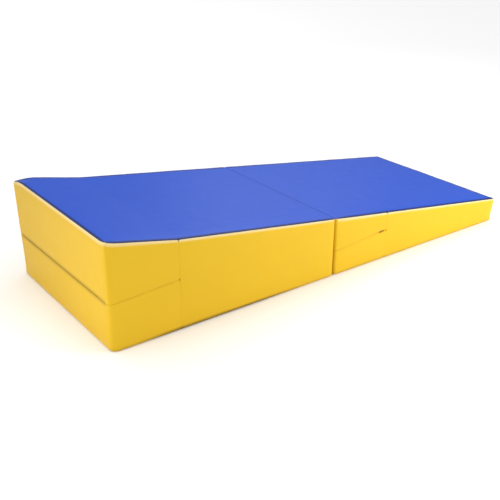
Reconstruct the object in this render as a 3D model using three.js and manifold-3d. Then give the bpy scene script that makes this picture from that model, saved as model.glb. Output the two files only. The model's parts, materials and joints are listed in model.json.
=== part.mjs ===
// A two-piece folding incline mat for gymnastics. Each half is a stack of laminated foam planks in a
// vinyl cover: a blue top panel, yellow side boxing and a yellow base. The halves are joined along the
// top of the fold, so the thin half swings up and over onto the thick one. Each cover opens by a
// concealed zip, which runs in a U round one end of the half.
//
// Millimetres, +Z up. The origin is on the floor at the middle of the opened mat. The tall end is at
// -X, the nose at +X, and the fold at x = 0.

import * as THREE from "three";
import { mergeVertices } from "three/addons/utils/BufferGeometryUtils.js";
import Module from "manifold-3d";

const wasm = await Module();
wasm.setup();

// Overall size
const HALF_LENGTH = 900;
const WIDTH = 700;
const FOLD_HEIGHT = 226;
const NOSE_HEIGHT = 97;
const LIP_LENGTH = 250; // the stretch at the tall end where the top kicks up
const LIP_RISE = 17;
const END_RADIUS = 25; // upright corners at the tall end and the nose
const FOLD_RADIUS = 10; // upright corners beside the fold
const FACE_GAP = 1.5; // from x = 0 to each fold face

// Cover and core
const VINYL = 1;
const GAP = 0.3; // air between pieces that lie against each other
const PLANK = 50; // foam lamination
const LEAF_HEIGHT = 43.5;
const LEAF_DROP = 1.5; // top of a hinge leaf below the top of the fold
const LEAF_WIDTH = 660;

// Zip, seen from the outer face of the boxing inwards
const SLOT = 3; // between the two flaps that hide the zip
const CLOSED_SLOT = 10; // run at the seam where the flaps meet
const HEM_INSET = 3;
const HEM_LOW = 8;
const HEM_HIGH = 17;
const COIL = { outer: 2.9, inner: 4.9, low: 0.8, high: 2.9 };
const TAPE = { outer: 3.6, inner: 4.2, low: 3.2, high: 16 };
const POCKET_DEPTH = 7; // relief in the foam behind the zip
const POCKET_HALF = 17.3;
const RUN_OUT = 6; // from the end of the tapes to the upright seam
const STOP = { length: 3, outer: 2.6, inner: 5.2, half: 2.9 };
const SLIDER = { length: 14, height: 11, plate: 1.2, outer: 1.4, inner: 6.4 };
const POST = { length: 6, width: 1.2 };
const CROWN = { length: 9, leg: 2, width: 2, proud: 2.6, thick: 0.8 };
const PULL = { length: 22, height: 6, thick: 1, rail: 1, window: 7.5, pivot: 0.9 };

const SLOPE = (FOLD_HEIGHT - NOSE_HEIGHT) / HALF_LENGTH;
const LIP_START = -(HALF_LENGTH - LIP_LENGTH);
const CLEAR = 10; // how far a cutting block runs past what it cuts
const HIGH = 500; // above everything
const ARC_STEPS = 6;

// A zip lies in a gently sloping plane: z = level + slope * x + tilt * y. It runs from beyond the
// closed end of its U, at start, to the upright boxing seam. The slider rests on the side outward.
const THICK = {
  name: "thick",
  side: -1,
  zipEnd: "end",
  zip: { level: 215.7, slope: 0.058, tilt: -0.01, start: -HALF_LENGTH - CLEAR, seam: -650, outward: 1 },
};
const THIN = {
  name: "thin",
  side: 1,
  zipEnd: "fold",
  zip: { level: 99, slope: 0.078, tilt: 0, start: -CLEAR, seam: 258, outward: -1 },
};

const blueVinyl = { color: 0x4868cf, roughness: 0.5, metalness: 0 };
const yellowVinyl = { color: 0xf0c63f, roughness: 0.5, metalness: 0 };
const foam = { color: 0xe9e7e0, roughness: 0.9, metalness: 0 };
const zipTape = { color: 0xe2b530, roughness: 0.85, metalness: 0 };
const zipCoil = { color: 0x5a4a1e, roughness: 0.45, metalness: 0 };
const zipMetal = { color: 0x6b5a3a, roughness: 0.35, metalness: 0.9 };

// ---------------------------------------------------------------- solids

function solidOf(geometry) {
  geometry.deleteAttribute("normal");
  geometry.deleteAttribute("uv");
  const merged = mergeVertices(geometry);
  return new wasm.Manifold(
    new wasm.Mesh({
      numProp: 3,
      vertProperties: merged.getAttribute("position").array,
      triVerts: new Uint32Array(merged.index.array),
    }),
  );
}

function geometryOf(solid) {
  const { vertProperties, triVerts } = solid.getMesh();
  const indexed = new THREE.BufferGeometry();
  indexed.setAttribute("position", new THREE.BufferAttribute(vertProperties, 3));
  indexed.setIndex(new THREE.BufferAttribute(triVerts, 1));
  const geometry = indexed.toNonIndexed();
  geometry.computeVertexNormals();
  return geometry;
}

function block(xRange, yRange, zRange) {
  const size = [xRange, yRange, zRange].map(([low, high]) => high - low);
  const centre = [xRange, yRange, zRange].map(([low, high]) => (low + high) / 2);
  return new THREE.BoxGeometry(...size).translate(...centre);
}

function shapeOf(points) {
  return new THREE.Shape(points.map(([x, y]) => new THREE.Vector2(x, y)));
}

// A side view, given as [x, z] points, carried right across the mat.
function acrossMat(points) {
  const depth = WIDTH + 2 * CLEAR;
  const geometry = new THREE.ExtrudeGeometry(shapeOf(points), { depth, bevelEnabled: false });
  return geometry.rotateX(Math.PI / 2).translate(0, depth / 2, 0);
}

// ---------------------------------------------------------------- the outline of a half

// Plan view of a half, drawn in by inset, as an upright column.
function column(half, inset) {
  const x1 = half.side * FACE_GAP + half.side * inset;
  const x2 = half.side * (HALF_LENGTH - inset);
  const y = WIDTH / 2 - inset;
  const fold = FOLD_RADIUS - inset;
  const end = END_RADIUS - inset;
  const toEnd = half.side;
  const shape = new THREE.Shape();
  shape.moveTo(x1 + toEnd * fold, -y);
  shape.lineTo(x2 - toEnd * end, -y);
  shape.quadraticCurveTo(x2, -y, x2, -y + end);
  shape.lineTo(x2, y - end);
  shape.quadraticCurveTo(x2, y, x2 - toEnd * end, y);
  shape.lineTo(x1 + toEnd * fold, y);
  shape.quadraticCurveTo(x1, y, x1, y - fold);
  shape.lineTo(x1, -y + fold);
  shape.quadraticCurveTo(x1, -y, x1 + toEnd * fold, -y);
  const settings = { depth: HIGH + CLEAR, bevelEnabled: false, curveSegments: ARC_STEPS };
  return solidOf(new THREE.ExtrudeGeometry(shape, settings).translate(0, 0, -CLEAR));
}

// The upright wall between two insets.
function wall(half, outer, inner) {
  return column(half, outer).subtract(column(half, inner));
}

function topHeight(x) {
  const lip = (LIP_RISE * Math.max(0, LIP_START - x)) / LIP_LENGTH;
  return FOLD_HEIGHT - SLOPE * x + lip;
}

// Side view of a half between two lines: low above the floor, and drop below the top surface.
function profile(half, low, drop) {
  const reach = half.side * (HALF_LENGTH + CLEAR);
  const stations = half.side < 0 ? [0, LIP_START, reach] : [0, reach];
  const top = stations.map((x) => [x, topHeight(x) - drop]);
  return solidOf(acrossMat([[reach, low], [0, low], ...top]));
}

function slab(low, high) {
  return solidOf(block([-HALF_LENGTH - CLEAR, HALF_LENGTH + CLEAR], [-WIDTH, WIDTH], [low, high]));
}

// ---------------------------------------------------------------- the plane of a zip

function zipPlane({ level, slope, tilt }) {
  return new THREE.Matrix4().set(1, 0, 0, 0, 0, 1, 0, 0, slope, tilt, 1, level, 0, 0, 0, 1);
}

function zipHeight({ level, slope, tilt }, x, y) {
  return level + slope * x + tilt * y;
}

// A band along the zip between two heights measured from its plane, ending short of the seam.
function zipBand(zip, low, high, short = 0) {
  const end = zip.seam - short;
  const points = [[zip.start, low], [end, low], [end, high], [zip.start, high]];
  return solidOf(acrossMat(points).applyMatrix4(zipPlane(zip)));
}

// Everything on one side of the slot between the flaps, up to the upright seam.
function flapSide(zip, sign) {
  const meet = zip.seam - CLOSED_SLOT;
  const end = zip.seam - GAP / 2;
  const points = [
    [zip.start, (sign * SLOT) / 2],
    [meet, (sign * SLOT) / 2],
    [meet, (sign * GAP) / 2],
    [end, (sign * GAP) / 2],
    [end, sign * HIGH],
    [zip.start, sign * HIGH],
  ];
  return solidOf(acrossMat(points).applyMatrix4(zipPlane(zip)));
}

// ---------------------------------------------------------------- cover

function topPanel(half) {
  return column(half, 0).intersect(profile(half, 0, 0)).subtract(profile(half, -CLEAR, VINYL));
}

function basePanel(half) {
  return column(half, 0).intersect(slab(0, VINYL));
}

function boxingWall(half) {
  return wall(half, 0, VINYL).intersect(profile(half, VINYL + GAP, VINYL + GAP));
}

// The boxing above or below the zip, with the folded hem that carries the zip tape.
function zippedBoxing(half, sign) {
  const { zip } = half;
  const flap = boxingWall(half).intersect(flapSide(zip, sign));
  const [low, high] = [sign * HEM_LOW, sign * HEM_HIGH].sort((a, b) => a - b);
  const hem = wall(half, VINYL / 2, HEM_INSET).intersect(zipBand(zip, low, high, 2 * GAP));
  return flap.add(hem);
}

// The rest of the boxing, in one strip at full height.
function plainBoxing(half) {
  const { start, seam } = half.zip;
  const zipped = block([start, seam + GAP / 2], [-WIDTH, WIDTH], [-CLEAR, HIGH]);
  return boxingWall(half).subtract(solidOf(zipped));
}

function hingeLeaf(half) {
  const top = FOLD_HEIGHT - LEAF_DROP;
  const faceSide = FACE_GAP - GAP;
  const x = [half.side * (faceSide - VINYL), half.side * faceSide].sort((a, b) => a - b);
  return solidOf(block(x, [-LEAF_WIDTH / 2, LEAF_WIDTH / 2], [top - LEAF_HEIGHT, top]));
}

// ---------------------------------------------------------------- foam

function foamPlanks(half) {
  const skin = VINYL + GAP;
  const pocket = wall(half, 0, POCKET_DEPTH).intersect(zipBand(half.zip, -POCKET_HALF, POCKET_HALF));
  const core = column(half, skin).intersect(profile(half, skin, skin)).subtract(pocket);
  const tallest = half.side < 0 ? topHeight(-HALF_LENGTH) : topHeight(0);
  const count = Math.ceil((tallest - skin) / PLANK);
  return Array.from({ length: count }, (_, i) =>
    core.intersect(slab(i * PLANK + GAP / 2, (i + 1) * PLANK - GAP / 2)),
  );
}

// ---------------------------------------------------------------- zip

// A strip on one side of the zip, such as a tape or a coil.
function zipStrip(half, { outer, inner, low, high }, sign, short) {
  const [from, to] = [sign * low, sign * high].sort((a, b) => a - b);
  return wall(half, outer, inner).intersect(zipBand(half.zip, from, to, short));
}

// Small zip parts are built about their own place on the zip, with y measured outwards from the
// outer face of the boxing, and lean with the zip's slope.
function onZip(parts, { slope, outward }) {
  const lean = new THREE.Matrix4().set(1, 0, 0, 0, 0, outward, 0, 0, slope, 0, 1, 0, 0, 0, 0, 1);
  const [first, ...rest] = parts.map((part) => {
    const leaned = part.applyMatrix4(lean);
    return solidOf(outward < 0 ? turnedInsideOut(leaned) : leaned);
  });
  return rest.reduce((whole, part) => whole.add(part), first);
}

// Mirroring turns a mesh's faces inwards, so the corners of each triangle are taken the other way.
function turnedInsideOut(geometry) {
  const flipped = geometry.index ? geometry : mergeVertices(geometry);
  const corners = flipped.index.array;
  for (let i = 0; i < corners.length; i += 3) {
    [corners[i + 1], corners[i + 2]] = [corners[i + 2], corners[i + 1]];
  }
  return flipped;
}

function endStop(zip) {
  const x = [-STOP.length / 2, STOP.length / 2];
  return onZip([block(x, [-STOP.inner, -STOP.outer], [-STOP.half, STOP.half])], zip);
}

// Two plates either side of the coils, a post between the coils, and a crown that stands out
// through the slot to hold the pull.
function slider(zip) {
  const x = [-SLIDER.length / 2, SLIDER.length / 2];
  const z = [-SLIDER.height / 2, SLIDER.height / 2];
  const back = -SLIDER.outer - SLIDER.plate / 2;
  const outerPlate = block(x, [-SLIDER.outer - SLIDER.plate, -SLIDER.outer], z);
  const innerPlate = block(x, [-SLIDER.inner, -SLIDER.inner + SLIDER.plate], z);
  const postX = [-POST.length / 2, POST.length / 2];
  const postZ = [-POST.width / 2, POST.width / 2];
  const post = block(postX, [-SLIDER.inner + SLIDER.plate / 2, back], postZ);
  const crownZ = [-CROWN.width / 2, CROWN.width / 2];
  const reach = CROWN.length / 2;
  const legs = [
    [-reach, -reach + CROWN.leg],
    [reach - CROWN.leg, reach],
  ].map((span) => block(span, [back, CROWN.proud], crownZ));
  const bridge = block([-reach, reach], [CROWN.proud - CROWN.thick, CROWN.proud], crownZ);
  return onZip([outerPlate, innerPlate, post, ...legs, bridge], zip);
}

// A flat tab with a window, whose end bar turns inside the crown.
function pullTab(zip) {
  const end = PULL.thick / 2;
  const z = PULL.height / 2;
  const outline = new THREE.Shape();
  outline.moveTo(end, -z);
  outline.lineTo(end, z);
  outline.lineTo(end - PULL.length + z, z);
  outline.absarc(end - PULL.length + z, 0, z, Math.PI / 2, (3 * Math.PI) / 2, false);
  outline.lineTo(end, -z);
  const inside = z - PULL.rail;
  outline.holes.push(
    new THREE.Path([
      new THREE.Vector2(-end, -inside),
      new THREE.Vector2(-end - PULL.window, -inside),
      new THREE.Vector2(-end - PULL.window, inside),
      new THREE.Vector2(-end, inside),
    ]),
  );
  const settings = { depth: PULL.thick, bevelEnabled: false, curveSegments: ARC_STEPS };
  const tab = new THREE.ExtrudeGeometry(outline, settings);
  return onZip([tab.rotateX(Math.PI / 2).translate(0, PULL.thick / 2, 0)], zip);
}

// ---------------------------------------------------------------- assembly

function piece(name, solid, look, place = [0, 0, 0]) {
  const mesh = new THREE.Mesh(geometryOf(solid), new THREE.MeshStandardMaterial(look));
  mesh.name = name;
  mesh.position.set(...place);
  return mesh;
}

function zipPieces(half) {
  const { name, zip } = half;
  const tapeEnd = zip.seam - RUN_OUT;
  const coilShort = RUN_OUT + STOP.length + GAP;
  const pieces = [];
  for (const [where, sign] of [["upper", 1], ["lower", -1]]) {
    pieces.push(piece(`${name}_zip_tape_${where}`, zipStrip(half, TAPE, sign, RUN_OUT), zipTape));
    pieces.push(piece(`${name}_zip_coil_${where}`, zipStrip(half, COIL, sign, coilShort), zipCoil));
  }
  for (const [where, outward] of [["near", -1], ["far", 1]]) {
    const x = tapeEnd - STOP.length / 2;
    const y = (outward * WIDTH) / 2;
    const stop = endStop({ ...zip, outward });
    pieces.push(piece(`${name}_zip_stop_${where}`, stop, zipMetal, [x, y, zipHeight(zip, x, y)]));
  }
  const x = tapeEnd - STOP.length - GAP - SLIDER.length / 2;
  const y = (zip.outward * WIDTH) / 2;
  const z = zipHeight(zip, x, y);
  pieces.push(piece(`${name}_zip_slider`, slider(zip), zipMetal, [x, y, z]));
  const pivot = [x, y + zip.outward * PULL.pivot, z];
  pieces.push(piece(`${name}_zip_pull`, pullTab(zip), zipMetal, pivot));
  return pieces;
}

function matHalf(half) {
  const { name, zipEnd } = half;
  const group = new THREE.Group();
  group.add(
    piece(`${name}_top_panel`, topPanel(half), blueVinyl),
    piece(`${name}_base_panel`, basePanel(half), yellowVinyl),
    piece(`${name}_${zipEnd}_boxing_upper`, zippedBoxing(half, 1), yellowVinyl),
    piece(`${name}_${zipEnd}_boxing_lower`, zippedBoxing(half, -1), yellowVinyl),
    piece(`${name}_side_boxing`, plainBoxing(half), yellowVinyl),
    piece(`${name}_hinge_leaf`, hingeLeaf(half), blueVinyl),
  );
  foamPlanks(half).forEach((plank, i) => group.add(piece(`${name}_foam_plank_${i + 1}`, plank, foam)));
  group.add(...zipPieces(half));
  return group;
}

const inclineMat = new THREE.Group();
inclineMat.add(matHalf(THICK), matHalf(THIN));

export default inclineMat;
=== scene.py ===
"""Folding incline mat: vinyl covers, foam core, hinge strip, zips and a plain studio.

The covers are puffed by a short cloth simulation, cut into the panels that a maker sews, and each
panel's edges are rolled into its seams. Lengths are in metres.
"""

import json
import math
from functools import cache

import bmesh
import bpy
from bpy.props import FloatProperty, FloatVectorProperty, PointerProperty
from mathutils import Matrix, Vector, noise
from mathutils.bvhtree import BVHTree
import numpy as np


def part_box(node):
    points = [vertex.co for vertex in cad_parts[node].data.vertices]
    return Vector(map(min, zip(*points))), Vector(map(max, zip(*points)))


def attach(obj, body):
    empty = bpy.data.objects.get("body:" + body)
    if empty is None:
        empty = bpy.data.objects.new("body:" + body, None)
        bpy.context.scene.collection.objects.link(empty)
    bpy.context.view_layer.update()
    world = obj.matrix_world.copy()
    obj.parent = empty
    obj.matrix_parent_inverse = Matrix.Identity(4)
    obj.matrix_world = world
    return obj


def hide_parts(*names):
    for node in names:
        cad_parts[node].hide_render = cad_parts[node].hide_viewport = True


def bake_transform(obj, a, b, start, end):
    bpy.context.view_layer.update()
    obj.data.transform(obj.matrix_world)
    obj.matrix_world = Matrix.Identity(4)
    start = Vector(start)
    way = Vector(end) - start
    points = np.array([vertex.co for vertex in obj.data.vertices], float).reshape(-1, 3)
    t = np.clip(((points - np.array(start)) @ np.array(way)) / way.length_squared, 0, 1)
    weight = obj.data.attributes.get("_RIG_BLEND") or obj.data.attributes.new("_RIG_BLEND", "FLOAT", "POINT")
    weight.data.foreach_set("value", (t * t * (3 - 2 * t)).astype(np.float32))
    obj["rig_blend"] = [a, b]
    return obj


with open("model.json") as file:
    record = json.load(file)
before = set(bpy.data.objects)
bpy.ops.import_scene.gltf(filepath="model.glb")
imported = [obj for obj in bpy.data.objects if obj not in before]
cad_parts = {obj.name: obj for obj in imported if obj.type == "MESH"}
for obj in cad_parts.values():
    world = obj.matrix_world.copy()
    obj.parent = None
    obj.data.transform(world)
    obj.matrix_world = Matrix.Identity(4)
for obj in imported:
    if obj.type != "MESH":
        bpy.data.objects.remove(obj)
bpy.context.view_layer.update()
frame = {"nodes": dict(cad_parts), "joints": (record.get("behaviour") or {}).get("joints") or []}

bl_info = {
    "name": "Folding Incline Mat",
    "version": (1, 0, 0),
    "blender": (4, 5, 0),
    "location": "View3D > Sidebar > Incline Mat",
    "description": "Builds the covers, foam core, hinge strip, zips and studio of a folding incline mat",
    "category": "Mesh",
}

MM = 0.001
TINY = 1e-6
UP = Vector((0, 0, 1))
MIDDLE = 0.5  # share of a wall's height given to the rows below the zip line
GAP = 0.15 * MM  # room left between a panel's rolled edge and the seam
REACH = 30 * MM  # a panel's border is drawn in over this distance


def linear(code):
    """The linear colour of an sRGB hex code such as "f4c430"."""
    channels = [int(code[i : i + 2], 16) / 255 for i in (0, 2, 4)]
    return tuple(c / 12.92 if c <= 0.04045 else ((c + 0.055) / 1.055) ** 2.4 for c in channels)


def smooth(value, low, high):
    """0 below low, 1 above high, and an even curve between."""
    share = min(1.0, max(0.0, (value - low) / (high - low)))
    return share * share * (3 - 2 * share)


# ------------------------------------------------------------------ settings


def length(name, description, default):
    return FloatProperty(name=name, description=description, default=default, min=0, unit="LENGTH")


def colour(name, description, code):
    return FloatVectorProperty(
        name=name, description=description, subtype="COLOR", size=3, min=0, max=1, default=linear(code)
    )


class MatSizes(bpy.types.PropertyGroup):
    grid: length("Grid", "Spacing of the cover's mesh", 10 * MM)
    vinyl: length("Vinyl thickness", "Thickness of the coated fabric", 0.8 * MM)
    rim: length("Rim radius", "How roundly the top and sides turn into their seam", 3.8 * MM)
    fold_rim: length("Fold radius", "The same beside the fold", 2.2 * MM)
    foot: length("Foot radius", "The same along the bottom edge", 5.0 * MM)
    crease: length("Crease radius", "How tightly the vinyl tucks into an edge seam", 1.1 * MM)
    seam: length("Seam radius", "How tightly it tucks into a flat seam", 0.4 * MM)
    lip: length("Lip radius", "How tightly a flap turns in over its zip", 1.6 * MM)
    tuck: length("Tuck", "How far the seam allowance reaches inside", 3 * MM)
    slot: length("Zip slot", "Opening between the flaps across an end", 2.4 * MM)
    side_slot: length("Side slot", "The same along the sides, where they close", 0.2 * MM)
    crown: length("Crown", "How far the foam may push a top panel out", 2.4 * MM)
    bulge: length("Bulge", "How far it may push a side out", 2.0 * MM)
    pucker: length("Pucker", "Depth of the small waves along the seams", 0.55 * MM)
    sway: length("Sway", "How far long edges wander from straight", 0.7 * MM)
    near_peak: length("Near peak", "Extra height of the near tall corner", 6 * MM)
    far_droop: length("Far droop", "How far the far tall corner is rounded down", 16 * MM)
    foam_play: length("Foam play", "Room between the foam's sides and the cover", 6 * MM)
    stitch: length("Stitch", "Length of one topstitch", 3.4 * MM)


class MatColours(bpy.types.PropertyGroup):
    blue: colour("Blue vinyl", "Top panels and hinge strip", "2c59d0")
    yellow: colour("Yellow vinyl", "Boxing and bases", "e4b920")
    foam: colour("Foam", "Expanded polyethylene planks", "e9e7e0")
    tape: colour("Zip tape", "Woven tape beside the coils", "d6a62c")
    coil: colour("Zip coil", "Nylon coil", "6a4a12")
    metal: colour("Zip metal", "Slider, pull and end stops", "8a5f14")
    thread: colour("Thread", "Topstitching beside the zips", "d9a51f")
    floor: colour("Floor", "Studio floor", "ffffff")


# ------------------------------------------------------------------ the outline of a half


def middle_of(node):
    low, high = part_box(node)
    return (low + high) / 2


def between(start, stop, step):
    """Even places after start, up to and including stop."""
    count = max(1, round(abs(stop - start) / step))
    return [start + (stop - start) * i / count for i in range(1, count + 1)]


class Half:
    """One half of the mat as the frame has it, and the even grid that its cover is made on."""

    lean = 2 * MM  # how far the face at the fold leans away from upright
    lean_reach = 120 * MM
    peak_reach = 40 * MM
    droop_reach = 90 * MM
    levelling = 300 * MM  # distance past the seam over which the middle row becomes an even one
    skin = 1.3 * MM  # vinyl and gap between the side boxing and the top surface in the frame
    vinyl = 1 * MM
    half_gap = 0.15 * MM  # half the frame's gap between neighbouring boxing strips
    fold_radius = 10 * MM
    end_radius = 25 * MM
    fold_steps = (0, 3.3, 6.7, 10)
    end_steps = (0, 5, 10, 15, 20, 25)
    side_steps = (0, 3.3, 6.7, 10, 15, 20, 25)

    def __init__(self, name, slide, rows, step):
        low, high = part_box(f"{name}_top_panel")
        plain_low, plain_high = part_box(f"{name}_side_boxing")
        self.name = name
        self.body = f"{name}_half"
        self.tall = name == "thick"
        self.low, self.high = low.x, high.x
        self.fold, self.end = (high.x, low.x) if self.tall else (low.x, high.x)
        self.width = high.y
        self.seam = plain_low.x - self.half_gap
        self.turn = self.end if self.tall else self.fold
        self.turn_radius = self.end_radius if self.tall else self.fold_radius
        self.line = [(low.x, high.z), (high.x, low.z + self.vinyl)]
        if self.tall:
            self.line.insert(1, (self.seam, plain_high.z + self.skin))
        near, far = (middle_of(f"{name}_zip_stop_{side}") for side in ("near", "far"))
        axis = next(j["axis"] for j in frame["joints"] if j["name"] == slide)
        self.zip_slope = axis[2] / axis[0]
        self.zip_tilt = (far.z - near.z) / (far.y - near.y)
        self.zip_level = near.z - self.zip_slope * near.x - self.zip_tilt * near.y
        self.lay_grid(rows, step)

    def lay_grid(self, rows, step):
        low_radius, high_radius = (
            (self.end_radius, self.fold_radius) if self.tall else (self.fold_radius, self.end_radius)
        )
        low_steps, high_steps = (
            (self.end_steps, self.fold_steps) if self.tall else (self.fold_steps, self.end_steps)
        )
        self.xs = [self.low + s * MM for s in low_steps]
        self.xs += between(self.low + low_radius, self.seam, step)
        self.xs += between(self.seam, self.high - high_radius, step)
        self.xs += [self.high - s * MM for s in reversed(high_steps[:-1])]
        side = [self.width - s * MM for s in self.side_steps]
        self.ys = [-y for y in side] + between(-side[-1], side[-1], step) + side[::-1][1:]
        lower, upper = rows
        self.ts = [MIDDLE * i / lower for i in range(lower + 1)]
        self.ts += [MIDDLE + (1 - MIDDLE) * (i + 1) / upper for i in range(upper)]

    def top(self, x, y, sizes):
        """Height of the top surface. At the tall end one corner stands up and the other droops."""
        for (x1, z1), (x2, z2) in zip(self.line, self.line[1:]):
            if x <= x2:
                break
        z = z1 + (z2 - z1) * (x - x1) / (x2 - x1)
        if self.tall:
            near = math.hypot(x - self.end, y + self.width)
            far = math.hypot(x - self.end, y - self.width)
            z += sizes.near_peak * max(0, 1 - near / self.peak_reach) ** 2
            z -= sizes.far_droop * max(0, 1 - far / self.droop_reach) ** 2
        return z

    def zip_height(self, x, y):
        return self.zip_level + self.zip_slope * x + self.zip_tilt * y

    def height(self, x, y, t, sizes):
        """Height of the share t of the wall, whose middle row follows the zip up to its seam."""
        top = self.top(x, y, sizes)
        eased = smooth(x, self.seam, self.seam + self.levelling)
        middle = self.zip_height(x, y) * (1 - eased) + MIDDLE * top * eased
        if t <= MIDDLE:
            return middle * t / MIDDLE
        return middle + (top - middle) * (t - MIDDLE) / (1 - MIDDLE)

    def rounded(self, x, y, t):
        """The plan place of a grid point, with the square corners drawn in to round ones.

        The outer corners are round at the floor and pulled to a point where they meet the top, and
        the two faces at the fold lean apart towards the floor.
        """
        for corner_x, radius, sign, power in (
            (self.fold, self.fold_radius, 1 if self.fold == self.high else -1, 2),
            (self.end, self.end_radius, 1 if self.end == self.high else -1, 2 + 10 * t**3),
        ):
            u = (x - (corner_x - sign * radius)) * sign
            v = abs(y) - (self.width - radius)
            if u > 0 and v > 0:
                shrink = max(u, v) / (u**power + v**power) ** (1 / power)
                x = corner_x - sign * radius + sign * u * shrink
                y = math.copysign(self.width - radius + v * shrink, y)
        inwards = -1 if self.fold == self.high else 1
        near_fold = 1 - smooth(abs(x - self.fold), 0, self.lean_reach)
        return x + inwards * self.lean * (1 - t) * near_fold, y

    def is_zipped(self, x):
        return x < self.seam


# ------------------------------------------------------------------ materials


def add_node(tree, kind, inputs=None, **settings):
    """Adds a shader node, sets its settings, and sets or links its inputs by name or number."""
    node = tree.nodes.new(kind)
    for name, value in settings.items():
        setattr(node, name, value)
    for name, value in (inputs or {}).items():
        if isinstance(value, bpy.types.NodeSocket):
            tree.links.new(value, node.inputs[name])
        else:
            node.inputs[name].default_value = value
    return node


def start_material(name):
    """An empty material, its node tree, and a socket with each point's place on the piece."""
    material = bpy.data.materials.new(name)
    material.use_nodes = True
    tree = material.node_tree
    tree.nodes.clear()
    return material, tree, add_node(tree, "ShaderNodeTexCoord").outputs["Object"]


def shaded(material, tree, inputs):
    """The material, finished with a Principled shader that has these inputs."""
    shader = add_node(tree, "ShaderNodeBsdfPrincipled", inputs)
    add_node(tree, "ShaderNodeOutputMaterial", {"Surface": shader.outputs["BSDF"]})
    return material


def per(mm):
    """Texture scale for one feature every so many millimetres."""
    return 1 / (mm * MM)


def band_scale(mm):
    """Scale at which a wave texture has one band every so many millimetres."""
    return math.pi / 10 / (mm * MM)


def mottled(tree, factor, base, low, high):
    """A colour that runs from low to high times base as factor runs from 0 to 1."""
    ends = {key: (*(min(1.0, c * k) for c in base), 1.0) for key, k in (("A", low), ("B", high))}
    mixed = add_node(tree, "ShaderNodeMix", {"Factor": factor, **ends}, data_type="RGBA")
    return mixed.outputs["Result"]


def tinted(tree, place, base, spread, mm):
    """base, a little lighter and darker in soft patches of the given size."""
    patches = add_node(tree, "ShaderNodeTexNoise", {"Vector": place, "Scale": per(mm), "Detail": 3.0})
    return mottled(tree, patches.outputs["Fac"], base, 1 - spread, 1 + spread)


def relief(tree, *layers):
    """The normal of a surface with layers of height, depth and strength laid over one another."""
    normal = None
    for height, depth, strength in layers:
        inputs = {"Height": height, "Distance": depth, "Strength": strength}
        if normal is not None:
            inputs["Normal"] = normal
        normal = add_node(tree, "ShaderNodeBump", inputs).outputs["Normal"]
    return normal


def woven(tree, place, mm):
    """Threads of a plain weave, as the sum of bands across each axis."""
    total = 0.0
    for axis in "XYZ":
        band = add_node(
            tree,
            "ShaderNodeTexWave",
            {"Vector": place, "Scale": band_scale(mm), "Distortion": 0.6, "Detail": 1.0},
            bands_direction=axis,
        ).outputs["Fac"]
        total = add_node(tree, "ShaderNodeMath", {0: total, 1: band}, operation="ADD").outputs[0]
    return total


def vinyl(name, base, rim, gloss):
    """PVC-coated polyester: smooth calendered film, with a fine grain and the scrim just showing.

    It gives the eye a satin skin that catches soft light in long slow ripples. The layer edge paints
    light and shade into the colour: a painted shade or a painted highlight along the top seam (the
    rim colour), and a brown painted shadow along the foot and in the open zip slot.
    """
    material, tree, place = start_material(name)
    # painted light and shade from the layer edge: above 0 mixes in the rim colour, below 0 the brown painted
    # shadow colour
    painted_shading = add_node(tree, "ShaderNodeAttribute", attribute_name="edge").outputs["Fac"]
    foot = add_node(tree, "ShaderNodeMath", {0: painted_shading, 1: -1.0}, operation="MULTIPLY").outputs[0]
    tint = tinted(tree, place, base, 0.035, 180)
    # the rim colour is a painted shade on blue and a painted highlight on yellow; 5a4020 is the painted
    # shadow colour
    for share, other in ((painted_shading, rim), (foot, linear("5a4020"))):
        inputs = {"Factor": share, "A": tint, "B": (*other, 1.0)}
        tint = add_node(tree, "ShaderNodeMix", inputs, data_type="RGBA").outputs["Result"]
    rubbed = add_node(tree, "ShaderNodeTexNoise", {"Vector": place, "Scale": per(35), "Detail": 5.0})
    satin = add_node(
        tree, "ShaderNodeMapRange", {"Value": rubbed.outputs["Fac"], "To Min": 0.38, "To Max": 0.5}
    )
    # ripples where the film is stretched over foam, about 70 mm apart
    ripple = add_node(tree, "ShaderNodeTexNoise", {"Vector": place, "Scale": per(70), "Detail": 2.0})
    # scrim threads 1.4 mm apart press faintly through the film
    scrim = woven(tree, place, 1.4)
    # pebbled grain, drawn at 1.1 mm where the real one is about 0.7 mm
    grain = add_node(
        tree, "ShaderNodeTexVoronoi", {"Vector": place, "Scale": per(1.1)}, feature="SMOOTH_F1"
    )
    normal = relief(
        tree,
        (ripple.outputs["Fac"], 1.2 * MM, 0.5),
        (scrim, 0.02 * MM, 0.5),
        (grain.outputs["Distance"], 0.05 * MM, 0.6),
    )
    inputs = {"IOR": 1.48, "Specular IOR Level": gloss, "Base Color": tint, "Normal": normal}
    return shaded(material, tree, {**inputs, "Roughness": satin.outputs["Result"]})


def blue_vinyl(name, base):
    """The same film in blue, with a nearly navy painted shade along its seam line."""
    return vinyl(name, base, tuple(0.12 * c for c in base), 0.5)


def yellow_vinyl(name, base):
    """The same film in yellow, with a cream painted highlight along its top edge."""
    return vinyl(name, base, tuple(0.2 * c + 0.8 * w for c, w in zip(base, linear("fff6dc"))), 0.2)


def foam_stuff(name, base):
    """Expanded polyethylene plank: closed cells 2 to 3 mm across, matt and faintly translucent."""
    material, tree, place = start_material(name)
    cells = add_node(tree, "ShaderNodeTexVoronoi", {"Vector": place, "Scale": per(2.6)})
    depth = cells.outputs["Distance"]
    inputs = {"Roughness": 0.85, "Subsurface Weight": 0.15, "Subsurface Radius": (4 * MM,) * 3}
    inputs["Base Color"] = mottled(tree, depth, base, 1.0, 0.86)
    inputs["Normal"] = relief(tree, (depth, 0.5 * MM, 0.6))
    return shaded(material, tree, inputs)


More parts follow.
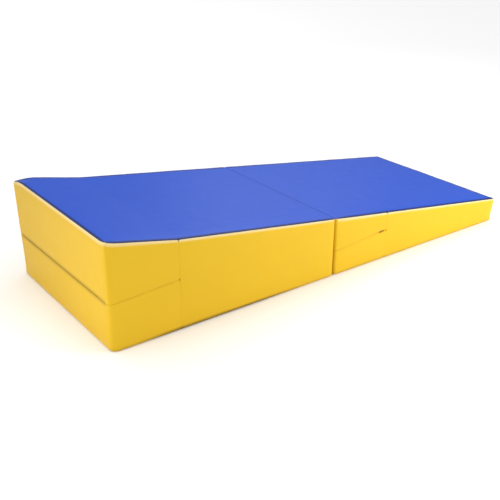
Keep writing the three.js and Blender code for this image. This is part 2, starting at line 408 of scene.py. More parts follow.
def zip_tape(name, base):
    """Woven polyester tape, with fine threads 0.6 mm apart."""
    material, tree, place = start_material(name)
    inputs = {"Roughness": 0.85, "Sheen Weight": 0.2}
    inputs["Base Color"] = tinted(tree, place, base, 0.12, 3)
    inputs["Normal"] = relief(tree, (woven(tree, place, 0.6), 0.12 * MM, 0.7))
    return shaded(material, tree, inputs)


def nylon(name, base):
    """Moulded nylon: smooth and slightly glossy, toned unevenly by its dye."""
    material, tree, place = start_material(name)
    tint = tinted(tree, place, base, 0.15, 6)
    return shaded(material, tree, {"IOR": 1.53, "Roughness": 0.38, "Base Color": tint})


def brushed_brass(name, base):
    """Die-cast zip metal with an antique finish, brighter where fingers rub it."""
    material, tree, place = start_material(name)
    wear = add_node(
        tree, "ShaderNodeTexNoise", {"Vector": place, "Scale": per(1.5), "Detail": 4.0}
    ).outputs["Fac"]
    rough = add_node(tree, "ShaderNodeMapRange", {"Value": wear, "To Min": 0.25, "To Max": 0.5})
    inputs = {"Metallic": 0.7, "Roughness": rough.outputs["Result"]}
    inputs["Base Color"] = tinted(tree, place, base, 0.3, 4)
    inputs["Normal"] = relief(tree, (wear, 0.05 * MM, 0.4))
    return shaded(material, tree, inputs)


def thread(name, base):
    """Spun polyester thread, twisted every 0.8 mm."""
    material, tree, place = start_material(name)
    twist = add_node(
        tree, "ShaderNodeTexWave", {"Vector": place, "Scale": band_scale(0.8)}, bands_direction="DIAGONAL"
    )
    inputs = {"Roughness": 0.6, "Sheen Weight": 0.3}
    inputs["Base Color"] = tinted(tree, place, base, 0.1, 5)
    inputs["Normal"] = relief(tree, (twist.outputs["Fac"], 0.1 * MM, 0.6))
    return shaded(material, tree, inputs)


def studio_paper(name, base):
    """Matt white paper sweep, with the slightest tooth."""
    material, tree, place = start_material(name)
    tooth = add_node(tree, "ShaderNodeTexNoise", {"Vector": place, "Scale": per(4), "Detail": 3.0})
    normal = relief(tree, (tooth.outputs["Fac"], 0.05 * MM, 0.3))
    return shaded(material, tree, {"Base Color": (*base, 1.0), "Roughness": 0.9, "Normal": normal})


# each colour setting's material name, maker and slot
FINISHES = {
    "blue": ("blue_coated_vinyl", blue_vinyl, "blue_vinyl"),
    "yellow": ("yellow_coated_vinyl", yellow_vinyl, "yellow_vinyl"),
    "foam": ("polyethylene_foam", foam_stuff, "foam"),
    "tape": ("woven_zip_tape", zip_tape, "zip_tape"),
    "coil": ("nylon_zip_coil", nylon, "zip_coil"),
    "metal": ("antique_zip_metal", brushed_brass, "zip_metal"),
    "thread": ("polyester_thread", thread, "yellow_vinyl"),
    "floor": ("white_paper_sweep", studio_paper, None),
}


def look(key):
    """The material of that kind, made once."""
    name, maker, _ = FINISHES[key]
    made = bpy.data.materials.get(name)
    return made or maker(name, tuple(getattr(bpy.context.scene.mat_colours, key)))


# ------------------------------------------------------------------ pieces


def object_from(bm, name, key):
    """A smooth-shaded object of this mesh and material, at the origin."""
    mesh = bpy.data.meshes.new(name)
    bm.to_mesh(mesh)
    bm.free()
    mesh.shade_smooth()
    made = bpy.data.objects.new(name, mesh)
    bpy.context.scene.collection.objects.link(made)
    made.data.materials.append(look(key))
    return made


def settle(piece, body, replaces=()):
    """Gives a finished piece its body and the frame nodes that it stands for."""
    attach(piece, body)
    if replaces:
        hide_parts(*replaces)
    return piece


def refine(piece, thickness=None):
    """Smooths a piece once, and gives a skin its thickness, inwards."""
    finer = piece.modifiers.new("smooth", "SUBSURF")
    finer.levels = finer.render_levels = 1
    if thickness:
        wall = piece.modifiers.new("thickness", "SOLIDIFY")
        wall.thickness = thickness
        wall.offset = -1
        wall.use_even_offset = False
    return piece


# ------------------------------------------------------------------ the cover before it is cut


def sliced_box(counts):
    """A unit box whose faces are an even grid of counts along X, Y and Z."""
    bm = bmesh.new()
    bmesh.ops.create_cube(bm, size=1.0)
    for axis, count in enumerate(counts):
        along = [e for e in bm.edges if abs(e.verts[0].co[axis] - e.verts[1].co[axis]) > TINY]
        bmesh.ops.subdivide_edges(bm, edges=along, cuts=count - 1)
    return bm


def shell(half, sizes):
    """The closed cover of a half. Each vertex keeps its grid place in the layer flat."""
    counts = [len(half.xs) - 1, len(half.ys) - 1, len(half.ts) - 1]
    bm = sliced_box(counts)
    flat = bm.verts.layers.float_vector.new("flat")
    bm.verts.layers.float_vector.new("push")
    bm.verts.layers.float.new("edge")
    for v in bm.verts:
        i, j, k = (round((c + 0.5) * n) for c, n in zip(v.co, counts))
        v[flat] = (half.xs[i], half.ys[j], half.ts[k])
        x, y = half.rounded(half.xs[i], half.ys[j], half.ts[k])
        v.co = (x, y, half.height(x, y, half.ts[k], sizes))
    return bm


def on_outline(half, x, y):
    return abs(y) > half.width - TINY or x < half.low + TINY or x > half.high - TINY


def is_held(half, x, y, t):
    """Whether a point of the cover is held still by a seam, a stiff hem, the floor or the other half."""
    if t < TINY or (t > 1 - TINY and on_outline(half, x, y)):
        return True
    if t > 1 - TINY:
        return False
    if abs(x - half.fold) < TINY or abs(x - half.seam) < TINY:
        return True
    row = max(b - a for a, b in zip(half.ts, half.ts[1:]))
    return half.is_zipped(x) and abs(t - MIDDLE) < 1.1 * row


def inflate(half, bm):
    """Where foam pressure moves each vertex, from a cloth simulation of the closed cover."""
    mesh = bpy.data.meshes.new("cover_cloth")
    bm.verts.index_update()
    bm.to_mesh(mesh)
    cover = bpy.data.objects.new("cover_cloth", mesh)
    scene = bpy.context.scene
    scene.collection.objects.link(cover)
    flat = bm.verts.layers.float_vector["flat"]
    held = cover.vertex_groups.new(name="held")
    held.add([v.index for v in bm.verts if is_held(half, *v[flat])], 1.0, "REPLACE")
    cloth = cover.modifiers.new("pressure", "CLOTH")
    cloth.settings.quality = 5
    cloth.settings.vertex_group_mass = "held"
    cloth.settings.use_pressure = True
    cloth.settings.uniform_pressure_force = 4
    cloth.settings.bending_stiffness = 2
    cloth.settings.effector_weights.gravity = 0
    cloth.point_cache.frame_start = 1
    cloth.point_cache.frame_end = 20
    for number in range(1, 21):
        scene.frame_set(number)
    puffed = cover.evaluated_get(bpy.context.evaluated_depsgraph_get())
    moved = [v.co - u.co for v, u in zip(puffed.data.vertices, mesh.vertices)]
    scene.frame_set(1)
    bpy.data.objects.remove(cover)
    bpy.data.meshes.remove(mesh)
    return moved


def seam_distance(half, x, y, t, z):
    """How far a cover point is from the nearest edge seam."""
    if t > 1 - TINY:
        return min(half.width - abs(y), x - half.low, half.high - x)
    return min(z, z * (1 - t) / max(t, 0.05), abs(x - half.seam))


LEAST_CROWN = 0.1 * MM
FOLD_SLOPE = 0.009  # folded, the tops close on each other, so they swell little beside the fold
EDGE_SLOPE = 0.08  # how steeply a top panel may swell from its edge seam
SMALL_WAVE, LARGE_WAVE = 38 * MM, 160 * MM
PUCKER_REACH = 22 * MM
STIFF_BY_ZIP = 10 * MM, 50 * MM
STIFF_BY_FOLD = 10 * MM, 160 * MM


def puff(half, bm, sizes):
    """Puts the capped foam pressure, the seam puckers and the sway of long edges in the layer push."""
    bm.normal_update()
    moved = inflate(half, bm)
    flat = bm.verts.layers.float_vector["flat"]
    push = bm.verts.layers.float_vector["push"]
    for v, move in zip(bm.verts, moved):
        x, y, t = v[flat]
        if t < TINY:
            continue
        away = seam_distance(half, x, y, t, v.co.z)
        from_fold = abs(x - half.fold)
        on_top = t > 1 - TINY
        cap = sizes.bulge
        if on_top:
            cap = min(sizes.crown, LEAST_CROWN + FOLD_SLOPE * from_fold, LEAST_CROWN + EDGE_SLOPE * away)
        if move.length > TINY:
            move = move.normalized() * cap * math.tanh(move.length / cap)
        by_zip = half.is_zipped(x) * (1 - smooth(abs(v.co.z - half.zip_height(x, y)), *STIFF_BY_ZIP))
        by_fold = 1 - smooth(from_fold, *STIFF_BY_FOLD)
        free = (1 - by_fold) * (1 if on_top else 1 - by_zip) * smooth(t, 0, 0.15)
        small = noise.noise(v.co / SMALL_WAVE) * math.exp(-away / PUCKER_REACH) * sizes.pucker
        large = noise.noise(v.co / LARGE_WAVE) * sizes.sway
        v[push] = move + v.normal * (small + large) * free


# ------------------------------------------------------------------ panels


class Edge:
    """How a panel's edge turns inwards: a round of one radius, a tighter crease, then a tuck."""

    arc_steps = 3

    def __init__(self, radius, crease, last, tuck, gap):
        turn = math.radians(45)
        last = math.radians(last)
        self.path = []
        out, into = 0.0, 0.0
        for round_radius, first, final in ((radius, 0.0, turn), (crease, turn, last)):
            start = (out - round_radius * math.sin(first), into + round_radius * math.cos(first))
            for i in range(1, self.arc_steps + 1):
                angle = first + (final - first) * i / self.arc_steps
                out = start[0] + round_radius * math.sin(angle)
                into = start[1] - round_radius * math.cos(angle)
                self.path.append((out, into))
        for share in (0.5, 1.0):
            self.path.append((out + tuck * share * math.cos(last), into + tuck * share * math.sin(last)))
        over_corner = last > math.radians(91)
        self.inset = max(o + i for o, i in self.path[:-1]) if over_corner else max(o for o, _ in self.path)
        self.inset += gap


def rim_edge(half, x, sizes):
    """The edge where a top panel meets the boxing, tighter beside the fold."""
    radius = sizes.fold_rim
    radius += (sizes.rim - sizes.fold_rim) * smooth(abs(x - half.fold), 20 * MM, 60 * MM)
    return Edge(radius, sizes.crease, 135, sizes.tuck, GAP)


def foot_edge(sizes):
    return Edge(sizes.foot, sizes.crease, 135, sizes.tuck, GAP)


def seam_edge(sizes):
    return Edge(sizes.seam, sizes.seam, 90, sizes.tuck, GAP / 3)


def slot_edge(half, x, y, sizes, fullness):
    """The edge of a flap over the zip. The two flaps all but close at the corners and along the sides."""
    on_end = 1 - smooth(abs(x - half.turn), 1 * MM, 6 * MM)
    off_corner = 1 - smooth(abs(y), half.width - 90 * MM, half.width - 30 * MM)
    width = sizes.side_slot + (sizes.slot - sizes.side_slot) * on_end * off_corner
    width *= smooth(half.seam - x, 8 * MM, 14 * MM)
    radius = sizes.lip * fullness
    return Edge(radius, radius, 90, sizes.tuck, GAP / 3 + width / 2)


def drawn_in(value, border, inset, sign):
    """A coordinate moved away from a border by inset, and by less further from it."""
    away = (value - border) * sign
    if away >= REACH:
        return value
    return border + sign * (inset + away * (1 - inset / REACH))


class Panel:
    """One sewn panel of a half's cover: which grid faces it has and where its borders lie."""

    def __init__(self, half, part, sizes):
        self.half, self.part, self.sizes = half, part, sizes

    def holds(self, places):
        """Whether a grid face with these corner places belongs to this panel."""
        half = self.half
        xs, _, ts = zip(*places)
        if min(ts) > 1 - TINY:
            return self.part == "top"
        if max(ts) < TINY:
            return self.part == "base"
        if sum(xs) / len(xs) > half.seam:
            return self.part == "plain"
        return self.part == ("upper" if sum(ts) / len(ts) > MIDDLE else "lower")

    def edge_kind(self, first, second):
        """Which edge two neighbouring border places lie on."""
        if self.part in ("top", "base"):
            return {"top": "rim", "base": "foot"}[self.part]
        ts = first[2], second[2]
        if min(ts) > 1 - TINY:
            return "rim"
        if max(ts) < TINY:
            return "foot"
        if max(abs(t - MIDDLE) for t in ts) < TINY and self.part != "plain":
            return "slot"
        return "seam"

    def edge(self, kind, x, y):
        if kind == "rim":
            return rim_edge(self.half, x, self.sizes)
        if kind == "slot":
            # the lower flap has the fuller lip, which catches the light under a thin shadow
            fullness = 1.8 if self.part == "lower" else 0.5
            return slot_edge(self.half, x, y, self.sizes, fullness)
        return foot_edge(self.sizes) if kind == "foot" else seam_edge(self.sizes)

    def painted_edge_shading(self, kinds, x, y):
        """What the layer edge starts from: above 0 by a top seam, for painted shade on the blue top
        and a painted highlight on the yellow boxing; below 0 for painted shade in the open zip slot
        across an end and a painted shadow along the foot.

        The foot's painted shadow is darkest under the middle of the thick half's long sides.
        """
        half = self.half
        side = half.width - half.end_radius
        if "rim" in kinds:
            strength = 0.8 if self.part == "top" else 0.5
            return strength * smooth(abs(x - half.fold), 1 * MM, 12 * MM)
        if "slot" in kinds:
            return 0.0 if abs(y) > side else -0.3
        if "foot" not in kinds or abs(y) < side:
            return 0.0
        return -0.15 - 0.45 * smooth(-x, 100 * MM, 350 * MM) * smooth(x - half.end, 60 * MM, 250 * MM)

    def painted_seam_shade(self, x, y):
        """How strongly painted shade tones a top panel there: in a band by each seam, wider away from the
        front.
        """
        half = self.half
        front, back, end = half.width + y, half.width - y, abs(x - half.end)
        front, back = (min(front, end), back) if half.tall else (front, min(back, end))
        return max(1 - smooth(front, 5 * MM, 11 * MM), 0.75 * (1 - smooth(back, 18 * MM, 26 * MM)))

    def place(self, x, y, t):
        """Where a grid place lies on this panel, with the panel's borders drawn in for their rolls."""
        half, sizes = self.half, self.sizes
        if self.part in ("top", "base"):
            kind = "rim" if self.part == "top" else "foot"
            side = self.edge(kind, x, y).inset
            x = drawn_in(x, half.low, self.edge(kind, half.low, y).inset, 1)
            x = drawn_in(x, half.high, self.edge(kind, half.high, y).inset, -1)
            y = drawn_in(drawn_in(y, -half.width, side, 1), half.width, side, -1)
            x, y = half.rounded(x, y, t)
            return Vector((x, y, half.top(x, y, sizes) if t > MIDDLE else 0.0))
        seam = self.edge("seam", x, y).inset
        x = drawn_in(x, half.seam, seam, 1 if self.part == "plain" else -1)
        px, py = half.rounded(x, y, t)
        z = half.height(px, py, t, sizes)
        floor = half.height(px, py, MIDDLE if self.part == "upper" else 0.0, sizes)
        ceiling = half.height(px, py, MIDDLE if self.part == "lower" else 1.0, sizes)
        below = self.edge("slot" if self.part == "upper" else "foot", x, y).inset
        above = self.edge("slot" if self.part == "lower" else "rim", x, y).inset
        return Vector((px, py, drawn_in(drawn_in(z, floor, below, 1), ceiling, above, -1)))

    def cut(self, cover):
        """This panel's faces from the whole cover, moved to their drawn-in places."""
        bm = cover.copy()
        flat = bm.verts.layers.float_vector["flat"]
        push = bm.verts.layers.float_vector["push"]
        others = [f for f in bm.faces if not self.holds([v[flat] for v in f.verts])]
        bmesh.ops.delete(bm, geom=others, context="FACES")
        painted_shading = bm.verts.layers.float["edge"]
        for v in bm.verts:
            x, y, _ = v[flat]
            v.co = self.place(*v[flat]) + v[push]
            # painted shade in a band along the top panel's seams
            if self.part == "top":
                v[painted_shading] = self.painted_seam_shade(x, y) * self.painted_edge_shading(("rim",), x, y)
        bm.normal_update()
        return bm

    def borders(self, bm):
        """For each border vertex, the outward directions of its edges with the kind of each."""
        flat = bm.verts.layers.float_vector["flat"]
        found = {}
        for edge in bm.edges:
            if not edge.is_boundary:
                continue
            loop = edge.link_loops[0]
            first, second = loop.vert, loop.link_loop_next.vert
            kind = self.edge_kind(first[flat], second[flat])
            for v in (first, second):
                away = (second.co - first.co).cross(v.normal).normalized()
                found.setdefault(v, []).append((kind, away))
        return found

    def roll(self, bm):
        """Turns every border inwards into its seam."""
        flat = bm.verts.layers.float_vector["flat"]
        painted_shading = bm.verts.layers.float["edge"]
        rolls = {}
        for v, edges in self.borders(bm).items():
            kinds = {kind for kind, _ in edges}
            x, y, _ = v[flat]
            # the border starts with its painted shade, highlight or shadow
            v[painted_shading] = self.painted_edge_shading(kinds, x, y)
            if len(kinds) == 1:
                away = sum((a for _, a in edges), Vector())
                away *= 1 / max(away.dot(edges[0][1]), TINY) if len(edges) == 2 else 1
                ways = [(self.edge(kinds.pop(), x, y).path, away)]
            else:
                ways = [(self.edge(kind, x, y).path, away) for kind, away in edges]
            rolls[v] = (v.co.copy(), v.normal.copy(), ways)
        current = {v: v for v in rolls}
        rim = [e for e in bm.edges if e.is_boundary]
        for step in range(2 * Edge.arc_steps + 2):
            made = bmesh.ops.extrude_edge_only(bm, edges=rim)["geom"]
            fresh = {g for g in made if isinstance(g, bmesh.types.BMVert)}
            following = {}
            for v in fresh:
                before = next(o for e in v.link_edges for o in [e.other_vert(v)] if o in current)
                source = current[before]
                # the painted shading grows stronger into the roll
                v[painted_shading] = source[painted_shading] * (1 + 0.3 * min(1, step / Edge.arc_steps))
                start, normal, ways = rolls[source]
                v.co = start - normal * max(path[step][1] for path, _ in ways)
                for path, away in ways:
                    v.co += away * path[step][0]
                following[v] = source
            rim = [g for g in made if isinstance(g, bmesh.types.BMEdge) and fresh.issuperset(g.verts)]
            current = following

    def build(self, cover, name, key, replaces):
        bm = self.cut(cover)
        bm.faces.ensure_lookup_table()
        outward = bm.faces[0].normal.copy()
        self.roll(bm)
        bmesh.ops.recalc_face_normals(bm, faces=bm.faces[:])
        bm.normal_update()
        bm.faces.ensure_lookup_table()
        if bm.faces[0].normal.dot(outward) < 0:
            bmesh.ops.reverse_faces(bm, faces=bm.faces[:])
        piece = refine(object_from(bm, name, key), self.sizes.vinyl)
        return settle(piece, self.half.body, replaces)


PANELS = (
    ("top", "top_cover", "blue", "top_panel"),
    ("base", "base_cover", "yellow", "base_panel"),
    ("plain", "side_boxing_cover", "yellow", "side_boxing"),
)


def build_cover(half, sizes):
    """All the panels of one half's cover, with stitched flaps over the zip."""
    whole = shell(half, sizes)
    puff(half, whole, sizes)
    for part, name, key, node in PANELS:
        piece = Panel(half, part, sizes).build(whole, f"{half.name}_{name}", key, [f"{half.name}_{node}"])
    where = "end" if half.tall else "fold"
    for part in ("upper", "lower"):
        node = f"{half.name}_{where}_boxing_{part}"
        flap = Panel(half, part, sizes).build(whole, f"{node}_cover", "yellow", [node])
        topstitch(half, flap, part, sizes)
    whole.free()


# ------------------------------------------------------------------ zips and stitching


class ZipRoute:
    """The U that a zip follows at some depth inside the boxing, from one upright seam to the other."""

    def __init__(self, half, inset, short):
        self.half = half
        self.y = half.width - inset
        self.radius = half.turn_radius - inset
        self.centre = half.turn + half.turn_radius
        self.start = half.seam - short
        self.straight = self.start - self.centre
        self.arc = self.radius * math.pi / 2
        self.across = 2 * (half.width - half.turn_radius)
        self.length = 2 * self.straight + 2 * self.arc + self.across

    def at(self, distance):
        """Plan place and outward direction at a distance along the route."""
        half = self.half
        if distance > self.length / 2:
            place, outward = self.at(self.length - distance)
            return Vector((place.x, -place.y, 0)), Vector((outward.x, -outward.y, 0))
        if distance <= self.straight:
            return Vector((self.start - distance, -self.y, 0)), Vector((0, -1, 0))
        corner_y = -(half.width - half.turn_radius)
        if distance <= self.straight + self.arc:
            angle = (distance - self.straight) / self.radius
            outward = Vector((-math.sin(angle), -math.cos(angle), 0))
            return Vector((self.centre, corner_y, 0)) + outward * self.radius, outward
        along = distance - self.straight - self.arc
        return Vector((self.centre - self.radius, corner_y + along, 0)), Vector((-1, 0, 0))

    def frames(self, pitch, lift):
        """A turned frame every pitch along the route, lift above the zip line: X along, Y outwards."""
        count = int(self.length / pitch)
        for i in range(count):
            place, outward = self.at((i + 0.5) * self.length / count)
            place.z = self.half.zip_height(place.x, place.y) + lift
            along = outward.cross(UP)
            yield place, along, outward


def frame_matrix(place, along, outward):
    turned = Matrix((along, outward, along.cross(outward))).transposed()
    return Matrix.Translation(place) @ turned.to_4x4()


def beads(matrices, bands):
    """One mesh with a small ball, six sides round and the given bands high, turned by each matrix."""
    bm = bmesh.new()
    bmesh.ops.create_uvsphere(bm, u_segments=6, v_segments=bands, radius=1)
    size = len(bm.verts)
    while len(bm.verts) < size * len(matrices):
        bmesh.ops.duplicate(bm, geom=bm.verts[:] + bm.edges[:] + bm.faces[:])
    bmesh.ops.delete(bm, geom=bm.verts[size * len(matrices) :], context="VERTS")
    for number, v in enumerate(bm.verts):
        v.co = matrices[number // size] @ v.co
    return bm


def topstitch(half, flap, part, sizes):
    """A row of stitches along the flap, laid on its finished surface."""
    bpy.context.view_layer.update()
    depsgraph = bpy.context.evaluated_depsgraph_get()
    surface = BVHTree.FromObject(flap, depsgraph)
    from_zip = 6 * MM if part == "upper" else -6 * MM
    short, pitch = 16 * MM, sizes.stitch * 1.35
    half_size = (sizes.stitch / 2, 0.28 * MM, 0.32 * MM)
    stitches = []
    for place, along, outward in ZipRoute(half, 0, short).frames(pitch, from_zip):
        spot, normal, _, _ = surface.find_nearest(place)
        if normal.dot(outward) < 0:
            normal = -normal
        turned = frame_matrix(spot + normal * 0.1 * MM, along, outward)
        stitches.append(turned @ Matrix.Diagonal((*half_size, 1)))
    settle(object_from(beads(stitches, 4), f"{flap.name}_topstitch", "thread"), half.body)


def zip_coil(half, side, sign):
    """One row of coil turns beside the zip line, above it for a sign of 1 and below for -1."""
    name = f"{half.name}_zip_coil_{side}"
    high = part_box(name)[1]
    half_size = (0.55 * MM, 1.0 * MM, 1.05 * MM)
    pitch, from_zip = 1.5 * MM, sign * 1.85 * MM
    route = ZipRoute(half, half.width - high.y + half_size[1], half.seam - high.x)
    flattened = Matrix.Diagonal((*half_size, 1))
    turns = [frame_matrix(*turn) @ flattened for turn in route.frames(pitch, from_zip)]
    settle(object_from(beads(turns, 5), f"{name}_turns", "coil"), half.body, [name])


def softened_copy(node, name, key, width, body, shape=None, sharp=25):
    """A copy of a frame node, merged and with its sharp edges rounded, which stands for the node."""
    bm = bmesh.new()
    bm.from_mesh(frame["nodes"][node].data)
    bmesh.ops.remove_doubles(bm, verts=bm.verts[:], dist=2e-6)
    bmesh.ops.dissolve_limit(bm, angle_limit=math.radians(1), verts=bm.verts[:], edges=bm.edges[:])
    if shape:
        shape(bm)
    edges = [e for e in bm.edges if e.is_manifold and e.calc_face_angle(0) > math.radians(sharp)]
    bmesh.ops.bevel(
        bm,
        geom=edges,
        offset=width,
        affect="EDGES",
        segments=2,
        profile=0.5,
        material=-1,
        clamp_overlap=True,
    )
    piece = object_from(bm, name, key)
    piece.modifiers.new("even_shading", "WEIGHTED_NORMAL").keep_sharp = True
    return settle(piece, body, [node])


def build_zip(half):
    """Tapes, coils, stops, slider and pull of one zip."""
    name = half.name
    for side, sign in (("upper", 1), ("lower", -1)):
        zip_coil(half, side, sign)
        tape = frame["nodes"][f"{name}_zip_tape_{side}"]
        tape.data.materials.clear()
        tape.data.materials.append(look("tape"))
    for side in ("near", "far"):
        node = f"{name}_zip_stop_{side}"
        softened_copy(node, f"{node}_clamp", "metal", 0.3 * MM, half.body)
    softened_copy(f"{name}_zip_slider", f"{name}_zip_slider_casting", "metal", 0.25 * MM, f"{name}_slider")
    softened_copy(f"{name}_zip_pull", f"{name}_zip_pull_tab", "metal", 0.22 * MM, f"{name}_pull")


# ------------------------------------------------------------------ foam and hinge


def build_foam(half, sizes):
    """The stack of planks, a little smaller in plan than the cover so that its tucks have room."""
    planks = sorted(n for n in frame["nodes"] if n.startswith(f"{half.name}_foam_plank_"))
    low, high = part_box(planks[0])
    centre = (low + high) / 2
    centre.z = 0
    reach = (high - low) / 2
    scale = Vector((1 - sizes.foam_play / reach.x, 1 - sizes.foam_play / reach.y, 1))
    from_corner, under_cover = 100 * MM, 1.5 * MM

    def shape(bm):
        bmesh.ops.translate(bm, verts=bm.verts[:], vec=-centre)
        bmesh.ops.scale(bm, verts=bm.verts[:], vec=scale)
        bmesh.ops.translate(bm, verts=bm.verts[:], vec=centre)
        if half.tall:
            # cuts near the drooping corner let the top planks sink there with the cover
            for place, normal in (
                ((half.end + from_corner, 0, 0), (1, 0, 0)),
                ((0, half.width - from_corner, 0), (0, 1, 0)),
            ):
                geom = bm.verts[:] + bm.edges[:] + bm.faces[:]
                bmesh.ops.bisect_plane(bm, geom=geom, plane_co=place, plane_no=normal)
            for v in bm.verts:
                v.co.z = min(v.co.z, half.top(v.co.x, v.co.y, sizes) - under_cover)

    for node in planks:
        plank = softened_copy(node, f"{node}_block", "foam", 1.5 * MM, half.body, shape, sharp=30)


def build_hinge():
    """The folded vinyl strip sewn across the top of the fold, which bends with it."""
    left_low, left_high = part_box("thick_hinge_leaf")
    right_low, right_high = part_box("thin_hinge_leaf")
    left = (left_low.x + left_high.x) / 2
    right = (right_low.x + right_high.x) / 2
    shoulder = left_high.z
    bm = bmesh.new()
    first = bmesh.ops.create_vert(bm, co=(left, left_low.y, left_low.z))["vert"][0]
    leg = bmesh.ops.extrude_vert_indiv(bm, verts=[first])["verts"]
    bmesh.ops.translate(bm, verts=leg, vec=UP * (shoulder - left_low.z))
    bend = bmesh.ops.spin(
        bm,
        geom=leg,
        cent=((left + right) / 2, left_low.y, shoulder),
        axis=(0, 1, 0),
        angle=math.pi,
        steps=8,
        use_merge=False,
    )["geom_last"]
    last = [g for g in bend if isinstance(g, bmesh.types.BMVert)]
    foot = bmesh.ops.extrude_vert_indiv(bm, verts=last)["verts"]
    bmesh.ops.translate(bm, verts=foot, vec=-UP * (shoulder - right_low.z))
    made = bmesh.ops.extrude_edge_only(bm, edges=bm.edges[:])["geom"]
    far = [g for g in made if isinstance(g, bmesh.types.BMVert)]
    bmesh.ops.translate(bm, verts=far, vec=(0, left_high.y - left_low.y, 0))
    across = [e for e in bm.edges if abs(e.verts[0].co.y - e.verts[1].co.y) > TINY]
    bmesh.ops.subdivide_edges(bm, edges=across, cuts=30)
    bmesh.ops.recalc_face_normals(bm, faces=bm.faces[:])
    bmesh.ops.solidify(bm, geom=bm.faces[:], thickness=0.5 * MM)
    strip = bending(bm, "hinge_strip", shoulder)
    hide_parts("thick_hinge_leaf", "thin_hinge_leaf")


def bending(bm, name, height):
    """A finished blue piece across the fold, which bends between the strip's two legs."""
    piece = object_from(bm, name, "blue")
    middle = 0.15 * MM
    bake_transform(piece, "thick_half", "thin_half", start=(-middle, 0, height), end=(middle, 0, height))
    return piece


def build_hinge_cover(halves):
    """The blue band that bridges the fold between the two top seams, with a dip along its middle and painted
    shade in the dip.
    """
    reach, long_reach = 4.4 * MM, halves["thick"].width - 6 * MM
    sunk, dip_depth, dip_reach = 0.4 * MM, 1.4 * MM, 1.6 * MM
    top = halves["thick"].line[-1][1]
    bm = bmesh.new()
    bmesh.ops.create_grid(bm, x_segments=16, y_segments=60, size=1)
    painted_shading = bm.verts.layers.float.new("edge")
    for v in bm.verts:
        x = v.co.x * reach
        dip = math.exp(-((x / dip_reach) ** 2))
        v.co = (x, v.co.y * long_reach, top - sunk - dip_depth * dip)
        # painted shade in the dip, in the blue's navy rim colour
        v[painted_shading] = 0.9 * dip
    bmesh.ops.solidify(bm, geom=bm.faces[:], thickness=0.4 * MM)
    bending(bm, "hinge_cover", top)


# ------------------------------------------------------------------ stage


CAMERA_LOOK = {"azimuth": -36.2244, "elevation": 24.9816, "distance": 2.789, "lens": 57.79}
CAMERA_TARGET = Vector((-0.3045, -0.2485, 0.150))


def from_angles(azimuth, elevation):
    """Unit direction towards a viewer at that azimuth and elevation, in degrees."""
    a, e = math.radians(azimuth), math.radians(elevation)
    return Vector((math.sin(a) * math.cos(e), -math.cos(a) * math.cos(e), math.sin(e)))


def add_camera():
    data = bpy.data.cameras.new("camera")
    data.lens = CAMERA_LOOK["lens"]
    data.sensor_width = 36
    data.clip_end = 100
    camera = bpy.data.objects.new("camera", data)
    back = from_angles(CAMERA_LOOK["azimuth"], CAMERA_LOOK["elevation"])
    camera.location = CAMERA_TARGET + back * CAMERA_LOOK["distance"]
    camera.rotation_euler = (-back).to_track_quat("-Z", "Y").to_euler()
    bpy.context.scene.collection.objects.link(camera)
    bpy.context.scene.camera = camera


def softbox(name, place, target, size, power):
    """A square area light at a place, aimed at a target."""
    data = bpy.data.lights.new(name, "AREA")
    data.shape = "SQUARE"
    data.size = size
    data.energy = power
    light = bpy.data.objects.new(name, data)
    light.location = place
    light.rotation_euler = (Vector(target) - Vector(place)).to_track_quat("-Z", "Y").to_euler()
    bpy.context.scene.collection.objects.link(light)


def add_lights():
    """Boxes that add to the sky: sheen from behind, a bright nose side and near corner, an even floor."""
    middle = Vector((0, 0, 0.15))
    softbox("rear_sheen", middle + from_angles(137, 32) * 3.5, middle, 1.6, 9)
    softbox("nose_fill", (1.3, -2.0, 0.7), (0.5, -0.35, 0.1), 1.0, 29)
    softbox("corner_fill", (-1.6, -0.37, 0.3), (-0.9, -0.25, 0.2), 0.35, 1.9)
    softbox("floor_wash", (-1.5, 5.0, 4.0), (-1.5, 6.5, 0), 3.0, 110)


def add_floor():
    bm = bmesh.new()
    bmesh.ops.create_grid(bm, x_segments=8, y_segments=8, size=15)
    bmesh.ops.translate(bm, verts=bm.verts[:], vec=(0, 0, -0.3 * MM))
    object_from(bm, "floor", "floor")


def add_world():
    """A white sky, brightest overhead and towards the tall end, dimmer round the horizon."""
    world = bpy.data.worlds.new("studio")
    world.use_nodes = True
    tree = world.node_tree
    view = add_node(tree, "ShaderNodeTexCoord").outputs["Generated"]
    x, _, z = add_node(tree, "ShaderNodeSeparateXYZ", {"Vector": view}).outputs

    def math_node(operation, first, second):
        node = add_node(tree, "ShaderNodeMath", {0: first, 1: second}, operation=operation)
        return node.outputs[0]

    overhead = add_node(
        tree,
        "ShaderNodeMapRange",
        {"Value": z, "From Min": 0.45, "From Max": 0.85},
        interpolation_type="SMOOTHSTEP",
    ).outputs["Result"]
    horizon = math_node("SUBTRACT", 1.0, overhead)
    tall_end = math_node("POWER", math_node("MAXIMUM", math_node("MULTIPLY", x, -1.0), 0.0), 2.0)
    glow = math_node("MULTIPLY", math_node("MULTIPLY", horizon, tall_end), 0.38)
    sky = math_node("ADD", math_node("ADD", math_node("MULTIPLY", overhead, 1.38), glow), 0.1)
    background = tree.nodes["Background"]
    background.inputs["Color"].default_value = (1, 1, 1, 1)
    tree.links.new(sky, background.inputs["Strength"])
    bpy.context.scene.world = world


# ------------------------------------------------------------------ operators


@cache
def the_halves():
    """Both halves, measured once from the frame, with their rows below and above the zip line."""
    step = bpy.context.scene.mat_sizes.grid
    return {
        "thick": Half("thick", "thick_zip_slide", (14, 16), step),
        "thin": Half("thin", "thin_zip_slide", (9, 9), step),
    }


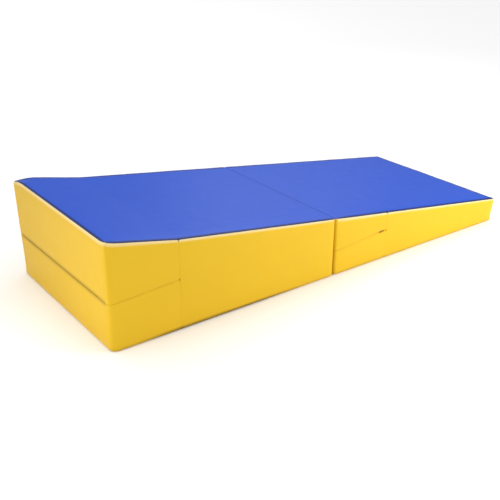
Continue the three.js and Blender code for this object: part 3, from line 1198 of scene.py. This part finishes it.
class INCLINE_OT_thick_cover(bpy.types.Operator):
    """Make the thick half's cover"""

    bl_idname = "incline.thick_cover"
    bl_label = "Thick cover"

    def execute(self, context):
        build_cover(the_halves()["thick"], context.scene.mat_sizes)
        return {"FINISHED"}


class INCLINE_OT_thin_cover(bpy.types.Operator):
    """Make the thin half's cover"""

    bl_idname = "incline.thin_cover"
    bl_label = "Thin cover"

    def execute(self, context):
        build_cover(the_halves()["thin"], context.scene.mat_sizes)
        return {"FINISHED"}


class INCLINE_OT_foam(bpy.types.Operator):
    """Make the foam planks of both halves"""

    bl_idname = "incline.foam"
    bl_label = "Foam core"

    def execute(self, context):
        for half in the_halves().values():
            build_foam(half, context.scene.mat_sizes)
        return {"FINISHED"}


class INCLINE_OT_zips(bpy.types.Operator):
    """Make both zips"""

    bl_idname = "incline.zips"
    bl_label = "Zips"

    def execute(self, context):
        for half in the_halves().values():
            build_zip(half)
        return {"FINISHED"}


class INCLINE_OT_hinge(bpy.types.Operator):
    """Make the hinge strip across the fold"""

    bl_idname = "incline.hinge"
    bl_label = "Hinge strip"

    def execute(self, context):
        build_hinge()
        build_hinge_cover(the_halves())
        return {"FINISHED"}


class INCLINE_OT_stage(bpy.types.Operator):
    """Set up the camera, floor and lights"""

    bl_idname = "incline.stage"
    bl_label = "Studio"

    def execute(self, context):
        add_camera()
        add_floor()
        add_world()
        add_lights()
        context.scene.view_settings.view_transform = "Standard"
        return {"FINISHED"}


OPERATORS = (
    INCLINE_OT_stage,
    INCLINE_OT_thick_cover,
    INCLINE_OT_thin_cover,
    INCLINE_OT_foam,
    INCLINE_OT_zips,
    INCLINE_OT_hinge,
)


class INCLINE_PT_sidebar(bpy.types.Panel):
    """Lists the pieces of the mat and its settings"""

    bl_label = "Incline Mat"
    bl_idname = "INCLINE_PT_sidebar"
    bl_space_type = "VIEW_3D"
    bl_region_type = "UI"
    bl_category = "Incline Mat"

    def draw(self, context):
        for operator in OPERATORS:
            self.layout.operator(operator.bl_idname)
        for group in (context.scene.mat_sizes, context.scene.mat_colours):
            box = self.layout.box()
            for name in type(group).__annotations__:
                box.prop(group, name)


CLASSES = (MatSizes, MatColours, *OPERATORS, INCLINE_PT_sidebar)


def register():
    for item in CLASSES:
        bpy.utils.register_class(item)
    bpy.types.Scene.mat_sizes = PointerProperty(type=MatSizes)
    bpy.types.Scene.mat_colours = PointerProperty(type=MatColours)


def unregister():
    del bpy.types.Scene.mat_colours
    del bpy.types.Scene.mat_sizes
    for item in reversed(CLASSES):
        bpy.utils.unregister_class(item)


def main():
    register()
    for operator in OPERATORS:
        group, name = operator.bl_idname.split(".")
        getattr(getattr(bpy.ops, group), name)()


if __name__ == "__main__":
    main()
